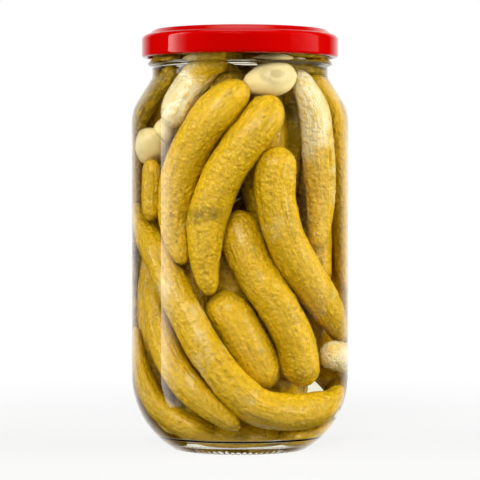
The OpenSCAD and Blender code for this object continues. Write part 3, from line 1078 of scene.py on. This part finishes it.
# Lamps that face the jar. turn and rise place a lamp in degrees round the point that it faces,
# which lies on the axis at level; away, level, wide and tall are in metres. shows says where it is
# mirrored: in all, only on what lies in the glass, or nowhere.
Lamp = namedtuple("Lamp", "turn rise away level wide tall radiance shows")
LAMPS = {
    "strip_left": Lamp(-77, 0, 1.0, 0.3, 0.46, 1.7, 4.8, "all"),
    "strip_right": Lamp(80, 0, 1.0, 0.55, 0.8, 1.1, 0.6, "all"),
    "strip_right_top": Lamp(80, 0, 1.0, 0.4, 0.8, 0.5, 7.0, "all"),
    "fill_left": Lamp(-76, 16, 1.2, 0.09, 0.6, 0.6, 4.6, "nowhere"),
    "fill_right": Lamp(74, 16, 1.2, 0.09, 0.6, 0.6, 7.5, "nowhere"),
    "key_front": Lamp(-10, 36, 1.2, 0.09, 0.5, 0.5, 9.0, "in glass"),
}


class JAR_OT_stage(bpy.types.Operator):
    """Set a pale floor, soft lights and the camera"""
    bl_idname = "pickle_jar.stage"
    bl_label = "Stage"

    def execute(self, context):
        scene = context.scene
        floor = add_mesh("floor", [(-3, -3, 0), (3, -3, 0), (3, 3, 0), (-3, 3, 0)],
                         [(0, 1, 2, 3)])
        floor.data.materials.append(pale_floor())
        floor.visible_glossy = False
        scene.world = studio_world()
        for name, lamp in LAMPS.items():
            softbox(name, lamp)
        lens = bpy.data.cameras.new("camera")
        lens.sensor_width = 36.0
        lens.angle = math.radians(12.32)
        camera = bpy.data.objects.new("camera", lens)
        camera.location = (0.0, -0.967, 0.113)
        aim = Vector((0.0, 0.0, 0.0904)) - camera.location
        camera.rotation_euler = aim.to_track_quat("-Z", "Y").to_euler()
        scene.collection.objects.link(camera)
        scene.camera = camera
        scene.view_settings.view_transform = "Standard"
        scene.cycles.max_bounces = 32
        scene.cycles.transmission_bounces = 28
        scene.cycles.glossy_bounces = 14
        scene.cycles.transparent_max_bounces = 24
        scene.cycles.caustics_refractive = True
        scene.cycles.caustics_reflective = False
        return {"FINISHED"}


def studio_world():
    """A white sweep behind the table that the camera sees, in a dim room with soft fill light.

    Mirrored in the glass it shows the sweep and a bright ceiling, and inside the glass, where
    rays turn over and over, a light grey.
    """
    world = bpy.data.worlds.new("studio")
    world.use_nodes = True
    tree = world.node_tree
    tree.nodes.clear()
    way = node(tree, "ShaderNodeTexCoord").outputs["Generated"]
    split = node(tree, "ShaderNodeSeparateXYZ", _0=way).outputs
    behind = node(tree, "ShaderNodeMapRange", SMOOTH,
                  Value=split[1], From_Min=0.6, From_Max=0.95)
    above = node(tree, "ShaderNodeMapRange", SMOOTH,
                 Value=split[2], From_Min=0.88, From_Max=0.97)
    path = node(tree, "ShaderNodeLightPath").outputs
    mirrored = math_node(tree, "MAXIMUM", behind, above)
    entered = math_node(tree, "GREATER_THAN", path["Transmission Depth"], 0.5)
    in_glass = math_node(tree, "MULTIPLY", entered,
                         math_node(tree, "LESS_THAN", path["Transmission Depth"], 4.5))
    mirrored = math_node(tree, "MAXIMUM", mirrored, math_node(tree, "MULTIPLY", in_glass, 0.75))
    reflected = math_node(tree, "GREATER_THAN", path["Glossy Depth"], 0.5)
    bounced = math_node(tree, "ADD", path["Diffuse Depth"], path["Glossy Depth"])
    seen = math_node(tree, "MAXIMUM", path["Is Camera Ray"], path["Is Transmission Ray"])
    seen = math_node(tree, "MULTIPLY", seen, math_node(tree, "LESS_THAN", bounced, 0.5))
    fill = node(tree, "ShaderNodeMapRange", Value=split[2], From_Min=-1.0, To_Min=0.03,
                To_Max=0.14)
    level = node(tree, "ShaderNodeMix", _0=reflected, _2=fill, _3=mirrored)
    level = node(tree, "ShaderNodeMix", _0=seen, _2=level, _3=1.0)
    sky = node(tree, "ShaderNodeBackground", Color=(1, 1, 1, 1), Strength=level)
    node(tree, "ShaderNodeOutputWorld", Surface=sky)
    return world


def pale_floor():
    """A white acrylic light table: faint grain and the faintest of shadows."""
    material, tree = new_material("white_light_table")
    where = node(tree, "ShaderNodeTexCoord").outputs["Object"]
    far = node(tree, "ShaderNodeVectorMath", {"operation": "LENGTH"}, _0=where)
    fade = node(tree, "ShaderNodeMapRange", SMOOTH, Value=far,
                From_Min=0.1, From_Max=0.4, To_Min=0.82, To_Max=1.0)
    grain = node(tree, "ShaderNodeTexNoise", Vector=where, Scale=1 / (3 * MM))
    tone = ramp(tree, grain, [(0.3, linear("e8e8e4")), (0.7, linear("f0f0ee"))])
    card = node(tree, "ShaderNodeBsdfPrincipled", Base_Color=tone, Roughness=0.8)
    path = node(tree, "ShaderNodeLightPath").outputs
    # Less of its glow reaches the skins, whose undersides then stay dark.
    lit = node(tree, "ShaderNodeMath", {"operation": "MULTIPLY_ADD"}, _0=path["Is Diffuse Ray"],
               _1=-0.8, _2=1.0)
    glow = node(tree, "ShaderNodeEmission", Color=(1, 1, 1, 1), Strength=lit)
    both = node(tree, "ShaderNodeMixShader", _0=fade, _1=card, _2=glow)
    node(tree, "ShaderNodeOutputMaterial", Surface=both)
    material.cycles.emission_sampling = "NONE"
    return material


def strip_glow(tree, turn):
    """Light of a strip that the glass mirrors: brightest at its rear, fading to its front."""
    across = node(tree, "ShaderNodeNewGeometry").outputs["Parametric"]
    across = node(tree, "ShaderNodeSeparateXYZ", _0=across)
    if turn > 0:
        across = math_node(tree, "SUBTRACT", 1.0, across)
    stops = [(0.0, 1.0), (0.25, 0.75), (0.6, 0.2), (1.0, 0.0)]
    curve = ramp(tree, across, [(place, (v, v, v, 1.0)) for place, v in stops], "LINEAR")
    return node(tree, "ShaderNodeEmission", Color=curve)


def key_glow(tree):
    """Light that glints on what lies in the glass but isn't mirrored by the glass itself."""
    path = node(tree, "ShaderNodeLightPath").outputs
    in_glass = math_node(tree, "GREATER_THAN", path["Transmission Depth"], 0.5)
    matt = math_node(tree, "LESS_THAN", path["Glossy Depth"], 0.5)
    return node(tree, "ShaderNodeEmission", Color=(1, 1, 1, 1),
                Strength=math_node(tree, "MAXIMUM", in_glass, matt))


def softbox(name, lamp):
    """An area light facing the jar."""
    light = bpy.data.lights.new(name, "AREA")
    light.shape = "RECTANGLE"
    light.size, light.size_y = lamp.wide, lamp.tall
    light.energy = lamp.radiance * math.pi * lamp.wide * lamp.tall
    made = bpy.data.objects.new(name, light)
    made.visible_glossy = lamp.shows != "nowhere"
    if made.visible_glossy:
        light.use_nodes = True
        tree = light.node_tree
        tree.nodes.clear()
        glow = key_glow(tree) if lamp.shows == "in glass" else strip_glow(tree, lamp.turn)
        node(tree, "ShaderNodeOutputLight", Surface=glow)
    a, b = math.radians(lamp.turn), math.radians(lamp.rise)
    faced = Vector((0.0, 0.0, lamp.level))
    made.location = faced + lamp.away * Vector((math.sin(a) * math.cos(b),
                                                -math.cos(a) * math.cos(b), math.sin(b)))
    made.rotation_euler = (faced - made.location).to_track_quat("-Z", "Y").to_euler()
    bpy.context.scene.collection.objects.link(made)


class JAR_PT_panel(bpy.types.Panel):
    """The jar's settings and pieces"""
    bl_idname = "JAR_PT_panel"
    bl_label = "Pickle Jar"
    bl_space_type = "VIEW_3D"
    bl_region_type = "UI"
    bl_category = "Pickle Jar"

    def draw(self, context):
        for key, group in SETTINGS.items():
            box = self.layout.box()
            box.label(text=group.__doc__)
            for name in group.__annotations__:
                box.prop(getattr(context.scene, key), name)
        for operator in OPERATORS:
            self.layout.operator(operator.bl_idname)


OPERATORS = (JAR_OT_glass, JAR_OT_brine, JAR_OT_lid, JAR_OT_gherkins, JAR_OT_garlic,
             JAR_OT_stage)
CLASSES = tuple(SETTINGS.values()) + OPERATORS + (JAR_PT_panel,)


def register():
    for item in CLASSES:
        bpy.utils.register_class(item)
    for key, group in SETTINGS.items():
        setattr(bpy.types.Scene, key, PointerProperty(type=group))


def unregister():
    for key in SETTINGS:
        delattr(bpy.types.Scene, key)
    for item in reversed(CLASSES):
        bpy.utils.unregister_class(item)


def main():
    register()
    bpy.ops.pickle_jar.glass()
    bpy.ops.pickle_jar.brine()
    bpy.ops.pickle_jar.lid()
    bpy.ops.pickle_jar.gherkins()
    bpy.ops.pickle_jar.garlic()
    bpy.ops.pickle_jar.stage()


if __name__ == "__main__":
    main()
